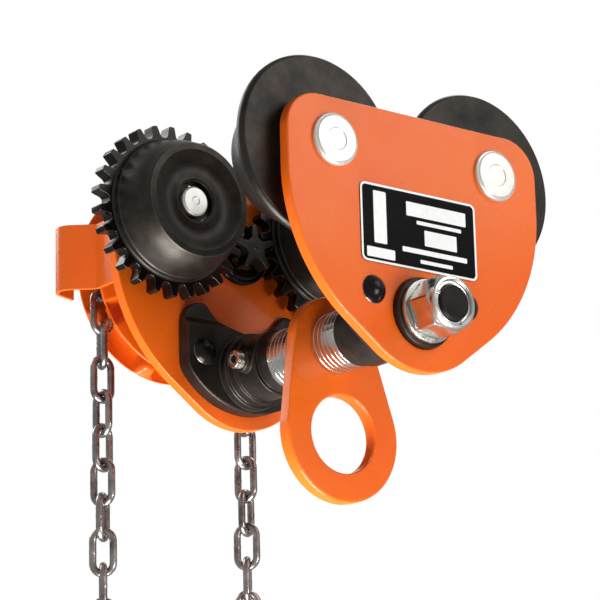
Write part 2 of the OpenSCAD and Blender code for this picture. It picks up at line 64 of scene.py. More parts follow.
GUIDE_BOLTS_X, GUIDE_BOLTS_Z, GUIDE_BOLT_R = (57.0, 70.0), 14.0, 3.0
CHAIN_D, CHAIN_P = 5.0, 23.5     # wire and joint distance of the hand chain
WHEEL_LINKS = 8                  # links on the upper half of the wheel, and in the bottom bend
LINK_TURN = 180 / WHEEL_LINKS
STRAND_LINKS = 10
SEAT_PINCH = 0.4                 # joints on the wheel stand this much closer
CHAIN_X = (CHAIN_P - SEAT_PINCH) / 2 / math.sin(math.radians(LINK_TURN / 2))
CHAIN_SLIP = 4.5                 # how far the chain has run on from a joint at the tangent point
TWIST = 11.0                     # degrees per link in the lower part of a strand
TWIST_FROM = 3.6                 # links below the wheel, where a strand starts to turn
PHASE = CHAIN_SLIP / CHAIN_P * LINK_TURN
FIT = 0.02                       # radial room between a part and the hole it sits in


# ---------------------------------------------------------------- camera
CAMERA_AIM = (-37.85, -15.59, -1.41)         # degrees round, up and rolled
CAMERA_AT = (-1015.5, -1283.3, -480.3)       # millimetres
CAMERA_LENS = 159.13                         # focal length on a 36 mm sensor


def make_camera():
    az, el, roll = (math.radians(a) for a in CAMERA_AIM)
    back = Vector((math.sin(az) * math.cos(el), -math.cos(az) * math.cos(el), math.sin(el)))
    right = Vector((math.cos(az), math.sin(az), 0))
    up = back.cross(right)
    r = right * math.cos(roll) + up * math.sin(roll)
    u = up * math.cos(roll) - right * math.sin(roll)
    data = bpy.data.cameras.new("camera")
    data.sensor_width = 36
    data.lens = CAMERA_LENS
    data.clip_start, data.clip_end = 0.05, 50
    cam = bpy.data.objects.new("camera", data)
    aim = Matrix(((r.x, u.x, back.x), (r.y, u.y, back.y), (r.z, u.z, back.z)))
    cam.matrix_world = Matrix.Translation(Vector(CAMERA_AT) * MM) @ aim.to_4x4()
    bpy.context.scene.collection.objects.link(cam)
    bpy.context.scene.camera = cam


make_camera()


# ---------------------------------------------------------------- mesh tools
def at_front(x, z):
    """Local (u, v, s): s inwards from the front plate's outer face."""
    return lambda u, v, s: Vector((x + u, -HALF + s, z + v)) * MM


def at_rear(x, z):
    """Local (u, v, s): s inwards from the rear plate's outer face."""
    return lambda u, v, s: Vector((x + u, HALF - s, z + v)) * MM


def rounded(points, step=18.0):
    """A loop of points (x, y) or (x, y, radius); corners with a radius become arcs."""
    out, n = [], len(points)
    for i, p in enumerate(points):
        radius = p[2] if len(p) > 2 else 0
        if radius <= 0:
            out.append((p[0], p[1]))
            continue
        c, a, b = Vector(p[:2]), Vector(points[i - 1][:2]), Vector(points[(i + 1) % n][:2])
        da, db = (a - c), (b - c)
        la, lb = da.length, db.length
        da, db = da / la, db / lb
        turn = math.acos(max(-1, min(1, da.dot(db))))
        if turn > math.pi - 0.02:
            out.append((p[0], p[1]))
            continue
        t = min(radius / math.tan(turn / 2), la * 0.49, lb * 0.49)
        r = t * math.tan(turn / 2)
        centre = c + (da + db).normalized() * (r / math.sin(turn / 2))
        p0, p1 = c + da * t, c + db * t
        a0 = math.atan2(*(p0 - centre).yx)
        a1 = math.atan2(*(p1 - centre).yx)
        d = (a1 - a0 + math.pi) % (2 * math.pi) - math.pi
        k = max(1, int(math.ceil(abs(math.degrees(d)) / step)))
        for j in range(k + 1):
            ang = a0 + d * j / k
            out.append((centre.x + r * math.cos(ang), centre.y + r * math.sin(ang)))
    return out


def arc(cx, cy, r, a0, a1, n):
    """Points along an arc from angle a0 to a1, in degrees."""
    return [(cx + r * math.cos(math.radians(a0 + (a1 - a0) * i / n)),
             cy + r * math.sin(math.radians(a0 + (a1 - a0) * i / n))) for i in range(n + 1)]


def circle(r, n=96, cx=0.0, cy=0.0):
    return arc(cx, cy, r, 0, 360 - 360 / n, n - 1)


def lathe(bm, profile, place, segments, step=18.0):
    """A closed profile of (r, s[, corner radius]) turned about the axis."""
    rings = []
    for r, s in rounded(profile, step):
        if r < 1e-6:
            rings.append([bm.verts.new(place(0, 0, s))] * segments)
        else:
            turns = [2 * math.pi * k / segments for k in range(segments)]
            rings.append([bm.verts.new(place(r * math.cos(a), r * math.sin(a), s)) for a in turns])
    for i, a in enumerate(rings):
        b = rings[(i + 1) % len(rings)]
        for k in range(segments):
            quad = []
            for v in (a[k], a[(k + 1) % segments], b[(k + 1) % segments], b[k]):
                if v not in quad:
                    quad.append(v)
            if len(quad) > 2:
                try:
                    bm.faces.new(quad)
                except ValueError:
                    pass


def signed_area(loop):
    """Above zero for a loop that runs anticlockwise."""
    return sum(a[0] * b[1] - b[0] * a[1] for a, b in zip(loop, loop[1:] + loop[:1])) / 2


def inset(loop, d):
    """Moves a loop into its solid by d; an outer loop runs anticlockwise, a hole clockwise."""
    n, out = len(loop), []
    for i in range(n):
        p, a, b = Vector(loop[i]), Vector(loop[i - 1]), Vector(loop[(i + 1) % n])
        e1, e2 = (p - a).normalized(), (b - p).normalized()
        n1, n2 = Vector((-e1.y, e1.x)), Vector((-e2.y, e2.x))
        m = n1 + n2
        m = m / max(m.length_squared, 0.6) * 2
        out.append((p.x + m.x * d, p.y + m.y * d))
    return out


def slab(bm, loops, place, s0, s1, edge, steps, edge_far=None):
    """A flat plate between s0 and s1 with rounded edges: an outline, then its holes."""
    edge_far = edge if edge_far is None else edge_far
    sets = []
    for i, loop in enumerate(loops):
        if (signed_area(loop) > 0) != (i == 0):
            loop = loop[::-1]
        rows = []
        for j in range(steps + 1):
            a = math.pi / 2 * j / steps
            rows.append((inset(loop, edge * (1 - math.sin(a))), s0 + edge * (1 - math.cos(a))))
        for j in range(steps + 1):
            a = math.pi / 2 * j / steps
            rows.append((inset(loop, edge_far * (1 - math.cos(a))), s1 - edge_far * (1 - math.sin(a))))
        verts = [[bm.verts.new(place(x, y, s)) for x, y in row] for row, s in rows]
        for a, b in zip(verts, verts[1:]):
            for k in range(len(loop)):
                bm.faces.new((a[k], a[(k + 1) % len(loop)], b[(k + 1) % len(loop)], b[k]))
        sets.append((rows, verts))
    for end in (0, -1):
        flat = [[Vector((x, y, 0)) for x, y in rows[end][0]] for rows, _ in sets]
        index = [v for _, verts in sets for v in verts[end]]
        for tri in tessellate_polygon(flat):
            try:
                bm.faces.new([index[k] for k in tri])
            except ValueError:
                pass


def tube(bm, path, radius, sides, closed=False, flare=None):
    """A round bar swept along points in metres; flare(i) scales its radius at point i."""
    n, rings = len(path), []
    up = None
    for i, p in enumerate(path):
        before = path[i - 1] if (closed or i > 0) else p
        after = path[(i + 1) % n] if (closed or i < n - 1) else p
        t = (after - before).normalized()
        if up is None:
            up = t.orthogonal().normalized()
        up = (up - t * up.dot(t)).normalized()
        side = t.cross(up)
        r = radius * (flare(i) if flare else 1)
        turns = [2 * math.pi * k / sides for k in range(sides)]
        rings.append([bm.verts.new(p + (up * math.cos(a) + side * math.sin(a)) * r) for a in turns])
    for i in range(n if closed else n - 1):
        a, b = rings[i], rings[(i + 1) % n]
        shift = 0
        if closed and i == n - 1:
            shift = min(range(sides), key=lambda q: (a[0].co - b[q].co).length)
        for k in range(sides):
            bm.faces.new((a[k], a[(k + 1) % sides], b[(k + 1 + shift) % sides], b[(k + shift) % sides]))
    if not closed:
        bm.faces.new(rings[0])
        bm.faces.new(rings[-1])


def piece(name, bm, material, body, replaces, sharp=38.0, weighted=True):
    """Makes the mesh an object on its body, with smooth faces between sharp edges."""
    bmesh.ops.remove_doubles(bm, verts=bm.verts, dist=1e-7)
    bmesh.ops.recalc_face_normals(bm, faces=bm.faces)
    for f in bm.faces:
        f.smooth = True
    for e in bm.edges:
        if len(e.link_faces) == 2 and e.calc_face_angle(0) > math.radians(sharp):
            e.smooth = False
    mesh = bpy.data.meshes.new(name)
    bm.to_mesh(mesh)
    bm.free()
    obj = bpy.data.objects.new(name, mesh)
    bpy.context.scene.collection.objects.link(obj)
    mesh.materials.append(material)
    if weighted:
        w = obj.modifiers.new("flat_faces", "WEIGHTED_NORMAL")
        w.keep_sharp = True
    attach(obj, body)
    if replaces:
        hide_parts(*replaces)
    return obj


# ---------------------------------------------------------------- materials
class Nodes:
    """Short calls for a material's nodes."""

    def __init__(self, name):
        self.mat = bpy.data.materials.new(name)
        self.mat.use_nodes = True
        self.tree = self.mat.node_tree
        self.shader = self.tree.nodes["Principled BSDF"]

    def add(self, kind, **values):
        node = self.tree.nodes.new(kind)
        for key, value in values.items():
            node.inputs[key].default_value = value
        return node

    def link(self, a, b):
        self.tree.links.new(a, b)

    def set(self, **values):
        for key, value in values.items():
            self.shader.inputs[key.replace("_", " ")].default_value = value

    def noise(self, scale, detail=4.0, rough=0.55):
        where = self.add("ShaderNodeTexCoord").outputs["Object"]
        node = self.add("ShaderNodeTexNoise", Scale=scale, Detail=detail, Roughness=rough)
        self.link(where, node.inputs["Vector"])
        return node.outputs["Fac"]

    def ramp(self, source, stops):
        node = self.add("ShaderNodeValToRGB")
        ramp = node.color_ramp
        while len(ramp.elements) < len(stops):
            ramp.elements.new(0.5)
        for el, (at, colour) in zip(ramp.elements, stops):
            el.position = at
            el.color = (*colour, 1) if isinstance(colour, tuple) else (colour, colour, colour, 1)
        self.link(source, node.inputs["Fac"])
        return node.outputs["Color"]

    def mix(self, mask, under, over):
        """The colour of socket under, with the plain colour over where mask is 1."""
        node = self.add("ShaderNodeMix")
        node.data_type = "RGBA"
        colours = [s for s in node.inputs if s.type == "RGBA"]
        self.link(mask, [s for s in node.inputs if s.name == "Factor" and s.type == "VALUE"][0])
        self.link(under, colours[0])
        colours[1].default_value = (*over, 1)
        return [s for s in node.outputs if s.type == "RGBA"][0]

    def bump(self, height, strength, distance):
        node = self.add("ShaderNodeBump", Strength=strength, Distance=distance)
        self.link(height, node.inputs["Height"])
        self.link(node.outputs["Normal"], self.shader.inputs["Normal"])

    def edges(self, radius, low=0.02, high=0.25):
        """A mask that is 1 along convex and concave edges."""
        bevel = self.add("ShaderNodeBevel", Radius=radius)
        bevel.samples = 6
        geometry = self.add("ShaderNodeNewGeometry")
        dot = self.add("ShaderNodeVectorMath")
        dot.operation = "DOT_PRODUCT"
        self.link(bevel.outputs["Normal"], dot.inputs[0])
        self.link(geometry.outputs["True Normal"], dot.inputs[1])
        return self.ramp(dot.outputs["Value"], [(1 - high, 1.0), (1 - low, 0.0)])


def srgb(*colour):
    """A screen colour, 0 to 255, as linear values."""
    shares = [c / 255 for c in colour]
    return tuple(c / 12.92 if c <= 0.04045 else ((c + 0.055) / 1.055) ** 2.4 for c in shares)


def orange_paint():
    """Enamel with slight clouds in its colour and a fine orange-peel surface."""
    n = Nodes("orange_enamel")
    clouds = n.ramp(n.noise(9, 3), [(0.35, srgb(225, 93, 13)), (0.65, srgb(230, 103, 19))])
    n.link(clouds, n.shader.inputs["Base Color"])
    rough = n.ramp(n.noise(60, 5), [(0.3, 0.24), (0.75, 0.36)])
    n.link(rough, n.shader.inputs["Roughness"])
    n.set(Coat_Weight=0.18, Coat_Roughness=0.12, Specular_IOR_Level=0.32)
    n.bump(n.noise(420, 2, 0.5), 0.12, 0.0004)
    return n.mat


def black_iron(name="black_iron", dark=(31, 29, 27), light=(64, 58, 52), rough=(0.3, 0.46)):
    """Blacked iron with brownish patches, a fine grain and lighter edges, partly rubbed bare metal and partly
    a painted edge highlight.
    """
    n = Nodes(name)
    patch = n.ramp(n.noise(38, 6, 0.6), [(0.3, srgb(*dark)), (0.72, srgb(*light))])
    # lighter colour along convex and concave edges alike: partly wear to bare metal, partly a painted
    # highlight along the edges
    edge = n.edges(0.0011)
    colour = n.mix(edge, patch, srgb(132, 124, 116))
    n.link(colour, n.shader.inputs["Base Color"])
    n.link(n.ramp(n.noise(120, 5), [(0.3, rough[0]), (0.7, rough[1])]), n.shader.inputs["Roughness"])
    n.set(Metallic=0.75)
    n.bump(n.noise(900, 4, 0.6), 0.25, 0.0004)
    return n.mat


def plated(name="zinc", colour=(222, 222, 216), rough=(0.14, 0.3), scale=150, metallic=1.0):
    """Plated metal, a shade darker in patches."""
    n = Nodes(name)
    darker = [c - 26 for c in colour]
    shades = [(0.3, srgb(*darker)), (0.7, srgb(*colour))]
    n.link(n.ramp(n.noise(60, 4), shades), n.shader.inputs["Base Color"])
    n.link(n.ramp(n.noise(scale, 5), [(0.3, rough[0]), (0.7, rough[1])]), n.shader.inputs["Roughness"])
    n.set(Metallic=metallic)
    n.bump(n.noise(700, 3), 0.12, 0.0002)
    return n.mat


def chain_steel():
    """Bare drawn wire, dull and bright in turns."""
    n = Nodes("chain_steel")
    shades = [(0.28, srgb(96, 88, 86)), (0.55, srgb(158, 152, 149)), (0.8, srgb(192, 187, 184))]
    n.link(n.ramp(n.noise(85, 5, 0.6), shades), n.shader.inputs["Base Color"])
    n.link(n.ramp(n.noise(240, 5), [(0.3, 0.22), (0.7, 0.34)]), n.shader.inputs["Roughness"])
    n.set(Metallic=0.95)
    n.bump(n.noise(700, 4), 0.07, 0.0003)
    return n.mat


def flat_print(name, colour, rough):
    """Ink or rubber: almost one colour, hardly shining."""
    n = Nodes(name)
    lighter = [c + 8 for c in colour]
    shades = [(0.3, srgb(*colour)), (0.7, srgb(*lighter))]
    n.link(n.ramp(n.noise(300, 4), shades), n.shader.inputs["Base Color"])
    n.link(n.ramp(n.noise(90, 3), [(0.3, rough), (0.7, rough + 0.1)]), n.shader.inputs["Roughness"])
    n.set(Specular_IOR_Level=0.05)
    n.bump(n.noise(1200, 2), 0.05, 0.0001)
    return n.mat


ORANGE = orange_paint()
IRON = black_iron()
GLOSS_IRON = black_iron("gloss_black", (22, 21, 20), (42, 38, 35), (0.13, 0.26))
BLACK_STEEL = black_iron("black_steel", (20, 19, 18), (40, 37, 35), (0.28, 0.42))
ZINC = plated()
NICKEL = plated("nickel_heads", (236, 234, 226), (0.24, 0.28), 90, 0.55)
STEEL = chain_steel()
BRONZE = plated("bronze", (176, 138, 80), (0.3, 0.45))
RUBBER = flat_print("seal_rubber", (28, 28, 28), 0.7)
PRINT_BLACK = flat_print("print_black", (8, 8, 9), 0.3)
PRINT_WHITE = flat_print("print_white", (238, 238, 236), 0.35)


# ---------------------------------------------------------------- light and floor, all in metres
AIM_AT = Vector((0, 0.03, -0.04))            # the middle of the trolley
BACKDROP_WAY = (0.591, 0.760, 0.269)         # from the camera's side through the trolley
ROOM_GREY, BACKDROP_GREY = 0.40, 1.0
FLOOR_Z = -1.2
# name, place, width and watts
LIGHTS = (("key", (0.3, -1.1, -0.35), 0.4, 7),
          ("sheen", (0.45, -0.8, 0.55), 0.6, 2.4),
          ("low", (-0.2, 0.0, -0.72), 0.5, 14),
          ("top", (0.75, 0.35, 0.95), 0.5, 3),
          ("back", (-0.5, 1.3, 0.8), 0.8, 9))


def make_world():
    """A grey room, brightening to white straight behind the trolley."""
    world = bpy.data.worlds.new("studio")
    bpy.context.scene.world = world
    world.use_nodes = True
    tree = world.node_tree
    where = tree.nodes.new("ShaderNodeTexCoord")
    dot = tree.nodes.new("ShaderNodeVectorMath")
    dot.operation = "DOT_PRODUCT"
    dot.inputs[1].default_value = BACKDROP_WAY
    ramp = tree.nodes.new("ShaderNodeValToRGB")
    for el, at, grey in zip(ramp.color_ramp.elements, (0.90, 0.965), (ROOM_GREY, BACKDROP_GREY)):
        el.position, el.color = at, (grey, grey, grey, 1)
    tree.links.new(where.outputs["Generated"], dot.inputs[0])
    tree.links.new(dot.outputs["Value"], ramp.inputs["Fac"])
    tree.links.new(ramp.outputs["Color"], tree.nodes["Background"].inputs["Color"])
    bpy.context.scene.view_settings.view_transform = "Standard"


def make_floor():
    bm = bmesh.new()
    bmesh.ops.create_grid(bm, x_segments=8, y_segments=8, size=6)
    mesh = bpy.data.meshes.new("floor")
    bm.to_mesh(mesh)
    bm.free()
    floor = bpy.data.objects.new("floor", mesh)
    floor.location = (0, 0, FLOOR_Z)
    bpy.context.scene.collection.objects.link(floor)
    n = Nodes("pale_floor")
    greys = [(0.3, (0.78, 0.78, 0.77)), (0.7, (0.82, 0.82, 0.81))]
    n.link(n.ramp(n.noise(3, 3), greys), n.shader.inputs["Base Color"])
    n.set(Roughness=0.7)
    mesh.materials.append(n.mat)


def make_lights():
    for name, place, size, power in LIGHTS:
        light = bpy.data.lights.new(name, "AREA")
        light.energy, light.size = power, size
        lamp = bpy.data.objects.new(name, light)
        lamp.location = place
        lamp.rotation_mode = "QUATERNION"
        lamp.rotation_quaternion = (AIM_AT - Vector(place)).to_track_quat("-Z", "Y")
        bpy.context.scene.collection.objects.link(lamp)


make_world()
make_floor()
make_lights()


# ---------------------------------------------------------------- hand chain
LINK_HALF_W = 6.85               # middle of a link to the middle of its side wire
LINK_SLACK = 0.24                # a link's inner length over the joint distance
ASKEW_LINK, ASKEW = 2, -21.0     # the link that leaves the guide, and its turn in degrees
FREE_LINKS = 2 * STRAND_LINKS + WHEEL_LINKS
WELD = {3: 1.03, 4: 1.05, 5: 1.03}           # the weld's bulge, by point of the link's outline


def joint_at(u):
    """Place of a chain joint in the wheel's plane, in links from the left tangent point down."""
    v = u - STRAND_LINKS
    w = v - WHEEL_LINKS - STRAND_LINKS
    strand = STRAND_LINKS * CHAIN_P
    if v < 0:
        return -CHAIN_X, -u * CHAIN_P
    if v < WHEEL_LINKS:
        a = math.radians(180 + v * LINK_TURN)
        return CHAIN_X * math.cos(a), -strand + CHAIN_X * math.sin(a)
    if w < 0:
        return CHAIN_X, w * CHAIN_P
    a = math.radians(w * LINK_TURN)
    return CHAIN_X * math.cos(a), CHAIN_X * math.sin(a)


def turned(t):
    """How far a link has turned, t links below the wheel; one stands askew."""
    return ASKEW if t == ASKEW_LINK else TWIST * max(0.0, t - TWIST_FROM)


def twist(i):
    """Turn of link i about its own length; the bottom bend takes up what the strands leave over."""
    low, j = turned(STRAND_LINKS - 1), i - STRAND_LINKS
    if j < 0:
        return -turned(i)
    if j < WHEEL_LINKS:
        return -low - (180 - 2 * low) * (j + 1) / (WHEEL_LINKS + 1)
    if j < WHEEL_LINKS + STRAND_LINKS:
        return turned(max(ASKEW_LINK + 1, STRAND_LINKS + WHEEL_LINKS - 1 - j))
    return 0.0


def chain_links(bm, first, last):
    reach = (CHAIN_P + LINK_SLACK + CHAIN_D) / 2 - LINK_HALF_W
    heights = (-reach * 0.7, -reach * 0.35, -1.6, -0.9, 0, 0.9, 1.6, reach * 0.35, reach * 0.7)
    outline = [(LINK_HALF_W, z) for z in heights] + arc(0, reach, LINK_HALF_W, 0, 180, 14)
    outline += [(-LINK_HALF_W, reach * k) for k in (0.5, 0, -0.5)] + arc(0, -reach, LINK_HALF_W, 180, 360, 14)
    for i in range(first, last):
        ax, az = joint_at(i - CHAIN_SLIP / CHAIN_P)
        bx, bz = joint_at(i + 1 - CHAIN_SLIP / CHAIN_P)
        turn = (Matrix.Rotation(math.atan2(bx - ax, bz - az), 3, "Y")
                @ Matrix.Rotation(math.radians(twist(i) + ((i + 1) % 2) * 90), 3, "Z"))
        middle = Vector(((ax + bx) / 2, WHEEL_Y, DRIVE_Z + (az + bz) / 2))
        path = [(middle + turn @ Vector((x, 0, z))) * MM for x, z in outline]
        tube(bm, path, CHAIN_D / 2 * MM, closed=True, sides=16, flare=lambda k: WELD.get(k, 1.0))


bm = bmesh.new()
chain_links(bm, 0, FREE_LINKS)
hand_chain = piece("hand_chain_links", bm, STEEL, "frame", ["hand_chain"], weighted=False)
bm = bmesh.new()
chain_links(bm, FREE_LINKS, FREE_LINKS + WHEEL_LINKS)
piece("chain_links_on_wheel", bm, STEEL, "frame", ["chain_on_wheel"], weighted=False)


# ---------------------------------------------------------------- side plates
PLATE_HALF_W, PLATE_TOP, PLATE_DROP = 100, 27.7, 136.3       # top and drop from the axle line
TOE_R, FLANK_R, SHOULDER_R = 56, 111, 24
AXLE_SEAT_R, NOSE_R, HOUSING_SEAT_R = 12, 22, 18


def plate_outline():
    """A round toe, flanks that curve out and round shoulders."""
    side = arc(0, TOE_R - PLATE_DROP, TOE_R, -90, -53, 14)
    side += arc(PLATE_HALF_W - FLANK_R, -20, FLANK_R, -53, 0, 30)
    side += arc(PLATE_HALF_W - SHOULDER_R, PLATE_TOP - SHOULDER_R, SHOULDER_R, 0, 90, 16)
    outline = [(x, z + AXLE_Z) for x, z in side + [(-x, z) for x, z in side[::-1]]]
    return [p for i, p in enumerate(outline) if (Vector(p) - Vector(outline[i - 1])).length > 0.05]


def side_plate(name, place, node, extra=()):
    holes = [(AXLE_SEAT_R, AXLE_X, AXLE_Z), (AXLE_SEAT_R, -AXLE_X, AXLE_Z), (NOSE_R, 0, SHAFT_Z)]
    holes += [(RIVET_R, m * RIVET_X, SHAFT_Z + RIVET_UP) for m in (1, -1)] + list(extra)
    bm = bmesh.new()
    loops = [plate_outline()] + [circle(r + FIT, 64, x, z) for r, x, z in holes]
    slab(bm, loops, place, 0, PLATE_T, 1.1, 4, 0.8)
    piece(name, bm, ORANGE, "frame", [node])


side_plate("front_side_plate", at_front(0, 0), "front_plate")
side_plate("rear_side_plate", at_rear(0, 0), "rear_plate", [(HOUSING_SEAT_R, 0, DRIVE_Z)]
           + [(GUIDE_BOLT_R, m * x, GUIDE_BOLTS_Z) for m in (-1, 1) for x in GUIDE_BOLTS_X])


# ---------------------------------------------------------------- name plate, blank but for generic panels
NAME_HALF_W, NAME_HALF_H, NAME_DROP = 46, 25, 22.5           # drop of its top from the axle line
# each bar's lower left and upper right corner, and its corner radius
NAME_PLATE_BARS = ((-36, -12.6, -26, 20.6, 0.8), (-42, -22, -20, -15.6, 0.8), (-10, 9, 38, 18, 0.6),
                   (-2, 4.4, 34, 6.8, 0.6), (4, -8.6, 30, 1.4, 0.6), (-14, -14.6, 38, -11.4, 0.6),
                   (0, -20.4, 26, -18, 0.6))


def box(x0, z0, x1, z1, radius):
    """A rectangle with round corners."""
    return rounded([(x0, z0, radius), (x1, z0, radius), (x1, z1, radius), (x0, z1, radius)])


def name_plate():
    """A black sheet with a printed white border and bars."""
    w, h, border = NAME_HALF_W, NAME_HALF_H, 1.4
    place = at_front(0, AXLE_Z - NAME_DROP - h)
    sheet = box(-w, -h, w, h, 4)
    bm = bmesh.new()
    slab(bm, [sheet], place, -0.74, 0, 0.04, 1)
    piece("name_plate_sheet", bm, PRINT_BLACK, "frame", ["name_plate"])
    bm = bmesh.new()
    slab(bm, [sheet, box(border - w, border - h, w - border, h - border, 2.8)], place, -0.8, -0.7, 0.03, 1)
    for bar in NAME_PLATE_BARS:
        slab(bm, [box(*bar)], place, -0.8, -0.7, 0.04, 1)
    piece("name_plate_print", bm, PRINT_WHITE, "frame", [])


name_plate()


# ---------------------------------------------------------------- shaft holders and rivets
EAR_BEND, EAR_FLAT = 28, 33      # above the shaft, where the ear's slanted facet starts and ends


def at_lock_screw(u, v, s):
    """Local (u, v, s): s from the suspension shaft's axis out through the rear holder's side."""
    return Vector((-s, HALF - LOCK_SCREW_S + u, SHAFT_Z + v)) * MM


def holder_outline():
    """The flange with two ears: a disc cut straight at the sides and scooped between the ears."""
    half = arc(0, 32.5, 60, -90, -38.3, 26) + arc(HOLDER_CUT - 15, 4.6, 15, -38.3, 0, 8)[1:]
    half += arc(HOLDER_CUT - 15.3, 29, 15.3, 0, 100, 14) + arc(0, 62, 36, -32, -90, 16)
    return half + [(-x, z) for x, z in half[::-1]][1:-1]


def ear_top(v):
    """How far the ear's face stands from the plate's outer face, at v above the shaft, past the bend."""
    if v <= EAR_FLAT:
        return HOLDER_TOP - (v - EAR_BEND)
    return HOLDER_TOP - (EAR_FLAT - EAR_BEND) - (v - EAR_FLAT) * 0.1


def ear_drop(bm, inwards):
    """The ears fall back towards the plate at their upper ends; inwards is the way along Y."""
    for v in (EAR_BEND, EAR_FLAT):
        geom = bm.verts[:] + bm.edges[:] + bm.faces[:]
        level = Vector((0, 0, SHAFT_Z + v)) * MM
        bmesh.ops.bisect_plane(bm, geom=geom, dist=1e-6, plane_co=level, plane_no=(0, 0, 1))
    for vert in bm.verts:
        s, v = HALF + inwards * vert.co.y / MM, vert.co.z / MM - SHAFT_Z
        if v > EAR_BEND and s > PLATE_T:
            share = (s - PLATE_T) / (HOLDER_TOP - PLATE_T)
            vert.co.y += (PLATE_T + share * (ear_top(v) - PLATE_T) - s) * MM * inwards


def shaft_holder(place, inwards):
    """The riveted flange and the stepped tube round the suspension shaft."""
    bm = bmesh.new()
    rivet_holes = [circle(RIVET_R + FIT, 40, m * RIVET_X, RIVET_UP) for m in (-1, 1)]
    slab(bm, [holder_outline(), circle(20, 80)] + rivet_holes, place, PLATE_T, HOLDER_TOP, 0.3, 4, 1.3)
    ear_drop(bm, inwards)
    tube_steps = [(11.05, -4.5), (NOSE_R, -4.5, 1.1), (NOSE_R, PLATE_T), (25.5, PLATE_T), (25.5, 24.8, 1.4),
                  (23.5, 24.8, 0.8), (23.5, 32, 1.0), (22, 32, 0.5), (22, 51.8, 1.4), (19.8, 51.8, 0.4),
                  (19.8, HOLDER_END, 0.9), (11.05, HOLDER_END)]
    lathe(bm, tube_steps, place, 96)
    return bm


def dome_profile(r, h, s0, sign, n=10):
    """Section of a round head of radius r and height h that stands on s0."""
    big = (r * r + h * h) / (2 * h)
    a = math.asin(min(1, r / big))
    angles = [a * (1 - i / n) for i in range(n + 1)]
    return [(big * math.sin(q), s0 + sign * (big * math.cos(q) - (big - h))) for q in angles]


def holders():
    bm = shaft_holder(at_front(0, SHAFT_Z), 1)
    piece("front_shaft_holder", bm, IRON, "frame", ["front_holder"])
    bm = shaft_holder(at_rear(0, SHAFT_Z), -1)
    lathe(bm, [(4.02, 20), (7.5, 20), (7.5, 25.9, 0.9), (4.02, 25.9)], at_lock_screw, 48)
    piece("rear_shaft_holder", bm, IRON, "frame", ["rear_holder"])
    for end, at in (("front", at_front), ("rear", at_rear)):
        bm = bmesh.new()
        for m in (-1, 1):
            place = at(m * RIVET_X, SHAFT_Z + RIVET_UP)
            for face, sign in ((-FIT, -1), (HOLDER_TOP + FIT, 1)):
                lathe(bm, dome_profile(9, 5.4, face, sign) + [(0, face)], place, 48, 30)
            low, high = 0.1, HOLDER_TOP - 0.1
            lathe(bm, [(0, low), (RIVET_R, low), (RIVET_R, high), (0, high)], place, 32)
        piece(end + "_holder_rivet_heads", bm, GLOSS_IRON, "frame", [end + "_holder_rivets"])


# ---------------------------------------------------------------- suspension shaft and what sits on it
def hex_body(bm, af, s0, s1, place, bore, chamfer, phase=0.0, samples=18):
    """A hexagon af across its flats round a bore, its corners turned off by a cone at both ends."""
    flat = af / 2
    corner = flat / math.cos(math.radians(30))
    drop = (corner - flat) * 0.58 + 0.25
    angles = [math.radians(60 * f - 30 + 60 * j / samples) for f in range(6) for j in range(samples)]
    reach = [flat / math.cos((a + math.pi / 6) % (math.pi / 3) - math.pi / 6) for a in angles]
    rays = [(math.cos(a + phase), math.sin(a + phase)) for a in angles]
    rows = [(flat - chamfer, s0), (flat, s0 + 0.25)]
    rows += [(flat + (corner - flat) * q, s0 + 0.25 + drop * q) for q in (0.15, 0.35, 0.6, 0.8, 1.0)]
    rows += [(r, s1 - (s - s0)) for r, s in rows[::-1]]
    rings = []
    for limit, s in rows:
        radii = [min(r, limit) for r in reach]
        rings.append([bm.verts.new(place(r * c, r * d, s)) for r, (c, d) in zip(radii, rays)])
    for s in (s1, s0):
        rings.append([bm.verts.new(place(bore * c, bore * d, s)) for c, d in rays])
    n = len(angles)
    for a, b in zip(rings, rings[1:] + rings[:1]):
        for k in range(n):
            bm.faces.new((a[k], a[(k + 1) % n], b[(k + 1) % n], b[k]))


def shaft_bar(place):
    """A plain bar with a flat head behind the rear holder."""
    head = 2 * HALF + 4.6
    bm = bmesh.new()
    lathe(bm, [(0, -31.6), (SHAFT_R, -31.6, 1.0), (SHAFT_R, head), (17, head, 0.4), (17, head + 7.4, 1.4),
               (0, head + 7.4)], place, 72)
    piece("suspension_shaft_bar", bm, BLACK_STEEL, "frame", ["suspension_shaft"])


def shaft_nut(place):
    """A lock nut with a collar, an inner ring and two locking tabs."""
    bm = bmesh.new()
    hex_body(bm, 32, -27.4, -8.2, place, 11.05, 0.6, math.radians(-10 + 30))
    collar = [(14.1, -27.3), (16.7, -27.3), (16.7, -30.5, 1.0), (14.6, -31.0, 0.4), (14.1, -30.5, 0.2)]
    lathe(bm, collar, place, 96)
    lathe(bm, [(11.06, -27.3), (14.2, -27.3), (14.2, -29.4), (12.3, -29.8, 0.3), (11.06, -29.3)], place, 72)
    for a in (-62, 158):
        c, d = math.cos(math.radians(a)), math.sin(math.radians(a))
        tab = lambda u, v, s, c=c, d=d: place(u * c - v * d, u * d + v * c, s)
        slab(bm, [box(12.0, -1.3, 15.2, 1.3, 0.3)], tab, -30.9, -28, 0.15, 2)
    piece("shaft_lock_nut", bm, ZINC, "frame", ["shaft_nut"])


def spacer_stack(end, place):
    """Equal washers whose edges stand a hair in or out, as loose washers do."""
    bm = bmesh.new()
    for i in range(SPACERS[end]):
        r = 19.9 - (0, 0.25, 0.1)[i % 3]
        s0 = HOLDER_END + SPACER_T * i + 0.03
        s1 = HOLDER_END + SPACER_T * (i + 1)
        lathe(bm, [(11.3, s0), (r, s0, 0.55), (r, s1, 0.55), (11.3, s1)], place, 96)
    piece(end + "_spacer_washers", bm, ZINC, "frame", [end + "_spacers"])


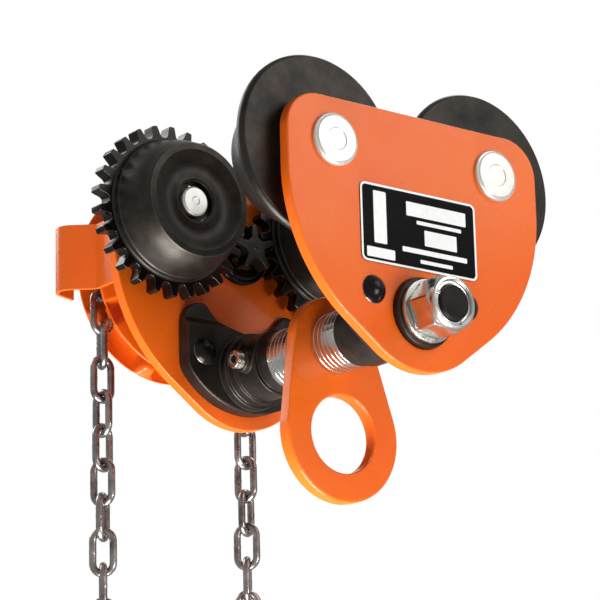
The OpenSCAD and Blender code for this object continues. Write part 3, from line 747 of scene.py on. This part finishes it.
def lock_screw():
    """A cap screw in the rear holder's side, with a six-sided socket whose floor is a black disc, painted
    shade in the recess.
    """
    bm = bmesh.new()
    hole = circle(3.5, 6)
    slab(bm, [circle(6, 48), hole], at_lock_screw, 28.6, 31.8, 0.3, 3)
    lathe(bm, [(0, 16), (4, 16), (4, 26.02), (6, 26.02, 0.2), (6, 28.7), (0, 28.7)], at_lock_screw, 48)
    piece("holder_lock_screw", bm, ZINC, "frame", ["shaft_lock_screw"])
    # a black disc on the socket's floor, which paints the shade inside the recess
    bm = bmesh.new()
    lathe(bm, [(0, 28.6), (3.6, 28.6), (3.6, 28.8), (0, 28.8)], at_lock_screw, 24)
    piece("lock_screw_socket_painted_shade", bm, BLACK_STEEL, "frame", [])


def suspension():
    front, rear = at_front(0, SHAFT_Z), at_rear(0, SHAFT_Z)
    shaft_bar(front)
    shaft_nut(front)
    bm = bmesh.new()
    lathe(bm, [(11.3, -8.1), (20, -8.1, 0.6), (20, -4.52, 0.6), (11.3, -4.52)], front, 96)
    piece("shaft_flat_washer", bm, ZINC, "frame", ["shaft_washer"])
    spacer_stack("front", front)
    spacer_stack("rear", rear)
    lock_screw()


holders()
suspension()


# ---------------------------------------------------------------- hanger
def hanger():
    """One flat plate with a round eye, leaning a little off plumb."""
    tilt = math.degrees(math.asin((HANGER_BIG_R - HANGER_SMALL_R) / EYE_DROP))
    outline = (arc(0, 0, HANGER_SMALL_R, tilt, 180 - tilt, 40)
               + arc(0, -EYE_DROP, HANGER_BIG_R, 180 - tilt, 360 + tilt, 70))
    c, d = math.cos(math.radians(HANGER_LEAN)), math.sin(math.radians(HANGER_LEAN))
    loops = [[(x * c - z * d, x * d + z * c) for x, z in loop]
             for loop in (outline, circle(SHAFT_R + 0.08, 64), circle(EYE_R, 96, 0, -EYE_DROP))]
    side = HOLDER_END + SPACERS["front"] * SPACER_T
    bm = bmesh.new()
    slab(bm, loops, at_front(0, SHAFT_Z), side + 0.1, side + 9.9, 1.5, 5)
    piece("hanger_plate", bm, ORANGE, "hanger", ["hanger"])


hanger()


# ---------------------------------------------------------------- wheels, axles and bearings
# half sections (radius, s[, corner radius]): the bore with its circlip groove, then the rim, then the face
WHEEL_INSIDE = [(13.4, 49.3, 0.3), (13.4, 44.1), (23.52, 44.1), (23.52, 29.98), (24.9, 29.98), (24.9, 28.5),
                (23.52, 28.5), (23.52, 26), (26, 25), (26, 14)]
PLAIN_RIM = [(57.8, 14, 2.4), (59, 17, 3), (58.6, 21, 4.5), (52.4, 24.8, 3), (47.6, 25.6, 2.2),
             (46.4, 27.4, 1.5)]
GEARED_RIM = [(44, 15), (44, 23.4), (49.0, 23.6), (46.8, 24.8, 2.0), (46.7, 28.5, 0.2), (46.1, 29.3, 0.5)]
# tread, falling ever faster to a crisp edge, a flat rim and a bowl down to the hub
WHEEL_FACE = [(46.1, 29), (45.2, 33.2), (44.3, 37.2), (43.4, 40.8), (42.3, 44.2), (41.0, 47.2), (39.8, 49.6),
              (38.9, 51.8), (38.4, 53.1), (37.9, 53.5), (33.8, 53.5, 0.5), (32.0, 52.9), (30.2, 51.9),
              (28.2, 50.9), (26, 50.0), (23.5, 49.4), (21, 49.2), (18.5, 49.5), (16.4, 50.1),
              (15.0, 50.3, 0.4)]
AXLE_HEAD = [(0, -2.9), (6.8, -2.9, 0.3), (7.2, -3.5, 0.4), (14.4, -3.5, 1.2), (15.4, -2.7, 0.3),
             (16.6, -2.3, 0.8), (16.6, -FIT)]
AXLE_BODY = [(AXLE_SEAT_R, -FIT), (AXLE_SEAT_R, 8), (13, 8.02), (13, 29.98), (10, 29.98), (10, 44.2),
             (9.3, 44.2), (9.3, 45.5), (10, 45.5), (10, 48.4, 0.4), (8.8, 49.6, 0.4), (3, 49.6, 0.4),
             (2.4, 48.9), (0, 48.9)]
BEARING_S = (30, 44)             # the bearing's two ends
TRACK = [(0, 34.6), (1, 35.6), (1.4, 37), (1, 38.4), (0, 39.4)]      # depth and s of a race's ball track

MESH_L = math.atan2(DRIVE_Z - AXLE_Z, AXLE_X)        # from the left axle to the drive shaft
MESH_R = math.pi - MESH_L
PINION_LEFT = MESH_L + math.pi
RIGHT_PHASE = (MESH_R + math.pi - PINION_LEFT) * PINION_TEETH / (2 * math.pi)
RIGHT_TURN = (RIGHT_PHASE - math.floor(RIGHT_PHASE)) * 2 * math.pi / GEAR_TEETH


def gear_loop(angle):
    """Outline of the gear's teeth about the wheel's axis."""
    half = [(49.7, 4.2, 1.3), (51.8, 3.15), (55, 2.6), (58, 1.95, 0.9)]
    tooth = [(r, -t, *q) for r, t, *q in half] + half[::-1]
    points = []
    for k in range(GEAR_TEETH):
        a = (k + 0.5) * 2 * math.pi / GEAR_TEETH + angle
        c, d = math.cos(a), math.sin(a)
        points += [(r * c - t * d, r * d + t * c, *q) for r, t, *q in tooth]
    return rounded(points, 30)


def race(seat_r, face_r, deeper):
    """Section of a bearing race; deeper is -1 or 1, the way its ball track is cut."""
    s0, s1 = BEARING_S
    return ([(seat_r, s0, 0.8), (face_r, s0, 0.5)] + [(face_r + deeper * q, s) for q, s in TRACK]
            + [(face_r, s1, 0.5), (seat_r, s1, 0.8)])


def bearing(tag, place, body):
    bm = bmesh.new()
    lathe(bm, race(10 + FIT, 14, -1), place, 64)
    piece(tag + "_bearing_inner", bm, ZINC, "frame", [tag + "_inner_race"])
    bm = bmesh.new()
    lathe(bm, race(23.5, 19.5, 1), place, 64)
    piece(tag + "_bearing_outer", bm, ZINC, body, [tag + "_outer_race"])
    bm = bmesh.new()
    for lo, hi in ((30.4, 31.4), (42.6, 43.6)):
        lathe(bm, [(14.4, lo, 0.2), (19.48, lo, 0.2), (19.48, hi, 0.2), (14.4, hi, 0.2)], place, 64)
    piece(tag + "_bearing_shields", bm, RUBBER, body, [tag + "_seals"])


def snap_ring(tag, kind, place, body, inner, outer, s0, s1):
    """A circlip, open by 6 mm at the top."""
    gap = math.degrees(3.0 / ((inner + outer) / 2))
    loop = arc(0, 0, outer, 90 + gap, 450 - gap, 60) + arc(0, 0, inner, 450 - gap, 90 + gap, 60)
    bm = bmesh.new()
    slab(bm, [loop], place, s0, s1, 0.15, 2)
    stem = tag + "_" + kind
    piece(stem + "_snap_ring", bm, BLACK_STEEL, body, [stem + "_circlip"])


def wheel(tag, place, body, gear_angle=None):
    """A wheel with its axle, bearing and circlips; with an angle it is geared, without it is plain."""
    bm = bmesh.new()
    if gear_angle is None:
        lathe(bm, WHEEL_INSIDE + PLAIN_RIM + WHEEL_FACE, place, 128)
    else:
        lathe(bm, WHEEL_INSIDE + GEARED_RIM + WHEEL_FACE, place, 128)
        ring = bmesh.new()
        slab(ring, [gear_loop(gear_angle), circle(40, 96)], place, 14, 24, 0.45, 3)
        piece(tag + "_gear_ring", ring, GLOSS_IRON, body, [])
    piece(tag + "_wheel_casting", bm, IRON, body, [tag + "_wheel"])
    bm = bmesh.new()
    lathe(bm, AXLE_HEAD + AXLE_BODY, place, 72)
    piece(tag + "_axle_pin", bm, NICKEL, "frame", [tag + "_axle"])
    bearing(tag, place, body)
    snap_ring(tag, "axle", place, "frame", 9.35, 13, 44.25, 45.45)
    snap_ring(tag, "bore", place, body, 21, 24.8, 28.55, 29.9)


wheel("fl", at_front(-AXLE_X, AXLE_Z), "front_left_wheel")
wheel("fr", at_front(AXLE_X, AXLE_Z), "front_right_wheel")
wheel("rl", at_rear(-AXLE_X, AXLE_Z), "rear_left_wheel", MESH_L)
wheel("rr", at_rear(AXLE_X, AXLE_Z), "rear_right_wheel", MESH_R + RIGHT_TURN)


# ---------------------------------------------------------------- drive shaft, its housing and bushes
def pinion_loop():
    """Five slender fingers with round ends about a small core."""
    points = []
    for k in range(PINION_TEETH):
        a = PINION_LEFT + k * 2 * math.pi / PINION_TEETH
        c, d = math.cos(a), math.sin(a)
        for r, t, q in ((7.3, -2.6, 1.4), (16, -1.6, 1.55), (16, 1.6, 1.55), (7.3, 2.6, 1.4)):
            points.append((r * c - t * d, r * d + t * c, q))
    return rounded(points)


def drive_housing(place):
    """The flanged housing through the rear plate, with a bush at each end."""
    bm = bmesh.new()
    lathe(bm, [(11.5, 13.2), (17.6, 13.2, 1.2), (18.2, 11.9, 0.4), (21.6, 11.9, 1.9), (21.6, 8.02, 0.4),
               (17.9, 8.02), (17.9, -0.02), (21, -0.02, 0.3), (20, -4, 1.0), (18, -4, 0.3), (18, -42, 1.6),
               (11.5, -42)], place, 96)
    piece("drive_bearing_housing", bm, GLOSS_IRON, "frame", ["drive_housing"])
    for name, s0, s1 in (("inner", -4.9, 13.2), ("outer", -42, -22.1)):
        bm = bmesh.new()
        lathe(bm, [(9.06, s0, 0.3), (11.48, s0, 0.3), (11.48, s1, 0.3), (9.06, s1, 0.3)], place, 64)
        piece("drive_bush_" + name, bm, BRONZE, "frame", [name + "_bush"])


def drive_shaft(place):
    """The pinion, the shaft and its thread in one piece, and the thrust washer."""
    bm = bmesh.new()
    slab(bm, [pinion_loop(), circle(1.7, 24)], place, 16.5, 27.7, 0.55, 3)
    lathe(bm, [(0, 17), (1.72, 17), (1.72, 27.0), (0, 25.6)], place, 24)
    thread = [(7.0 - 0.45 * (k % 2), -81 - 0.75 * k) for k in range(24)]
    lathe(bm, [(0, 17.4), (7.6, 17.4), (7.6, 13.62), (8.98, 13.6, 0.4), (8.98, -44.7), (8, -44.7), (8, -80)]
          + thread + [(6.0, -100, 0.3), (0, -100)], place, 56)
    piece("drive_shaft_and_pinion", bm, IRON, "drive", ["drive_shaft"])
    bm = bmesh.new()
    lathe(bm, [(9.1, -44.68), (16, -44.68, 0.3), (16, -42.12, 0.3), (9.1, -42.12)], place, 64)
    piece("drive_thrust_washer", bm, BRONZE, "drive", ["thrust_washer"])


def castle_nut(place):
    """A nut with six castellations and the split pin through them."""
    bm = bmesh.new()
    hex_body(bm, 22, -89, -81.02, place, 7.06, 0.8)
    lathe(bm, [(7.06, -90.6), (9.6, -90.6), (9.6, -88.8), (7.06, -88.8)], place, 60)
    for a in range(0, 360, 60):
        crown = arc(0, 0, 9.6, a + 11.6, a + 48.4, 8) + arc(0, 0, 7.06, a + 44.2, a + 15.8, 8)
        slab(bm, [crown], place, -95, -90.4, 0.35, 2)
    piece("chain_wheel_castle_nut", bm, ZINC, "drive", ["wheel_nut"])
    bm = bmesh.new()
    at = lambda x, z: place(x, z, -92.6)
    leg = [(-11, 0), (-6, 0), (0, 0), (6, 0), (9.6, 0), (10.6, -0.3), (10.95, -1.4), (10.95, -4.9)]
    tube(bm, [at(x, z) for x, z in leg], 1.3 * MM, sides=12)
    turns = [k * math.pi / 9 for k in range(18)]
    eye = [at(-12.6 + 1.6 * math.cos(a), 1.6 * math.sin(a)) for a in turns]
    tube(bm, eye, 0.9 * MM, closed=True, sides=10)
    piece("castle_nut_split_pin", bm, STEEL, "drive", ["nut_split_pin"])


def drive():
    place = at_rear(0, DRIVE_Z)
    drive_housing(place)
    drive_shaft(place)
    castle_nut(place)


drive()


# ---------------------------------------------------------------- chain wheel, pressed into pockets and lugs
# half sections (radius, distance from the wheel's middle plane), point for point the same features
POCKET = [(15.5, -3.0), (40, -3.0), (44.5, -3.6), (47.2, -6.5), (49.6, -11.0), (52.5, -12.7), (56, -13),
          (66, -13), (69.8, -13), (70.7, -12.7), (71, -12.0), (70.7, -11.3), (69.0, -11.7), (64.5, -12.0),
          (59.8, -11.7), (57.0, -10.6), (55.5, -9.6), (55.2, -7.5), (55.2, -3.9), (54.8, -3.55), (48.3, -3.5)]
LUG = [(15.5, -3.0), (40, -3.0), (45.0, -3.2), (48.5, -4.2), (51.5, -5.4), (54, -5.8), (57, -5.9),
       (62, -6.1), (66.2, -8.0), (69.6, -12.2), (71, -12.0), (70.5, -11.2), (69.3, -9.8), (68.4, -8.0),
       (67.6, -5.6), (66.6, -4.2), (65.0, -3.7), (60, -3.62), (56, -3.6), (52, -3.55), (48.3, -3.5)]
LUG_REACH, LUG_RISE = 7.6, 4.6   # degrees from a lug's middle to its foot, and over which it rises


def chain_wheel(segments=320):
    """A ring whose section changes from pocket to lug eight times on its way round."""
    place = lambda u, v, s: Vector((u, WHEEL_Y + s, DRIVE_Z + v)) * MM
    bm = bmesh.new()
    rings = []
    for k in range(segments):
        a = 2 * math.pi * k / segments
        off = (math.degrees(a) + LINK_TURN * 1.5 + PHASE) % (2 * LINK_TURN) - LINK_TURN
        w = min(1.0, max(0.0, (LUG_REACH - abs(off)) / LUG_RISE))
        w = w * w * (3 - 2 * w)
        half = [(p[0] + (q[0] - p[0]) * w, p[1] + (q[1] - p[1]) * w) for p, q in zip(POCKET, LUG)]
        rings.append([bm.verts.new(place(r * math.cos(a), r * math.sin(a), y))
                      for r, y in half + [(r, -y) for r, y in half[::-1]]])
    count = len(rings[0])
    for k, a in enumerate(rings):
        b = rings[(k + 1) % segments]
        for i in range(count):
            bm.faces.new((a[i], a[(i + 1) % count], b[(i + 1) % count], b[i]))
    lathe(bm, [(8.01, -24, 0.5), (16, -24, 0.9), (16, 12, 0.9), (8.01, 12, 0.5)], place, 72)
    piece("hand_chain_wheel", bm, ORANGE, "drive", ["chain_wheel"], sharp=50)


chain_wheel()


# ---------------------------------------------------------------- chain guides and their bolts
GUIDE_X, GUIDE_T = 79, 2.5       # the strip's middle where it stands on its foot, and its thickness
GUIDE_LOW, GUIDE_FOOT_TOP, GUIDE_TOP = 5, 23, 50
# half a section across the strip's lower edge: offset from its middle, height above its edge
STRIP_EDGE = ((-1.25, 0.5), (-1.1, 0.15), (-0.75, 0), (0.75, 0), (1.1, 0.15), (1.25, 0.5))


def guide_path():
    """The strip's middle from the plate out, round the link and off at a slant; the second point is
    there twice, which makes the step from the low foot to the full height."""
    cx, cy, r = -86.5, WHEEL_Y - 5.4, 10
    path = [(-GUIDE_X, HALF + FIT), (-GUIDE_X, HALF + 6), (-GUIDE_X, HALF + 6), (-GUIDE_X, cy - 21)]
    path += [(-79.6, cy - 18.6)] + arc(cx, cy, r, 229.4, 110, 26)
    x, y = path[-1]
    lip = 13.2
    return path + [(x + lip * math.cos(math.radians(20)), y + lip * math.sin(math.radians(20)))]


def guide(side, node, m):
    """A bent strip with rounded edges on a flat foot; m mirrors it to the right."""
    path = guide_path()
    bm = bmesh.new()
    rings = []
    for i, p in enumerate(path):
        t = (Vector(path[min(i + 1, len(path) - 1)]) - Vector(path[max(i - 1, 0)])).normalized()
        top = GUIDE_FOOT_TOP if i < 2 else GUIDE_TOP
        section = [(x, GUIDE_LOW + z) for x, z in STRIP_EDGE] + [(-x, top - z) for x, z in STRIP_EDGE]
        ring = [Vector((m * (p[0] - t.y * x), p[1] + t.x * x, z)) * MM for x, z in section]
        rings.append([bm.verts.new(spot) for spot in ring])
    sides = len(rings[0])
    for a, b in zip(rings, rings[1:]):
        for k in range(sides):
            bm.faces.new((a[k], a[(k + 1) % sides], b[(k + 1) % sides], b[k]))
    bm.faces.new(rings[0])
    bm.faces.new(rings[-1])
    place = lambda u, v, s: Vector((m * u, HALF + s, v)) * MM
    foot = rounded([(-GUIDE_X, GUIDE_LOW, 1), (-50, GUIDE_LOW, 3), (-50, GUIDE_FOOT_TOP, 3),
                    (-GUIDE_X, GUIDE_FOOT_TOP, 1)])
    holes = [circle(GUIDE_BOLT_R + FIT, 32, -x, GUIDE_BOLTS_Z) for x in GUIDE_BOLTS_X]
    slab(bm, [foot] + holes, place, 0.03, GUIDE_T, 0.4, 3)
    piece("chain_guide_" + side, bm, ORANGE, "frame", [node])


def guide_bolts():
    bm = bmesh.new()
    for x in (-70, -57, 57, 70):
        place = lambda u, v, s, x=x: Vector((x + u, HALF + GUIDE_T + 0.04 + s, GUIDE_BOLTS_Z + v)) * MM
        hex_body(bm, 10, 0.7, 4, place, 0.02, 0.4, x * 0.07)
        lathe(bm, [(0, 0), (5.7, 0, 0.2), (5.7, 0.7, 0.2), (0, 0.7)], place, 40)
        lathe(bm, [(0, -10.5), (GUIDE_BOLT_R, -10.5, 0.3), (GUIDE_BOLT_R, 0.5), (0, 0.5)], place, 32)
    piece("chain_guide_bolts", bm, ZINC, "frame", ["guide_bolts"])


guide("left", "guide_left", 1)
guide("right", "guide_right", -1)
guide_bolts()

# the key and the balls are shown by the frame's own meshes, which only get a material
for node, material in [("wheel_key", STEEL)] + [(w + "_balls", ZINC) for w in ("fl", "fr", "rl", "rr")]:
    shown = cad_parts[node]
    if not shown.material_slots:
        shown.data.materials.append(material)
    for held in shown.material_slots:
        held.material = material
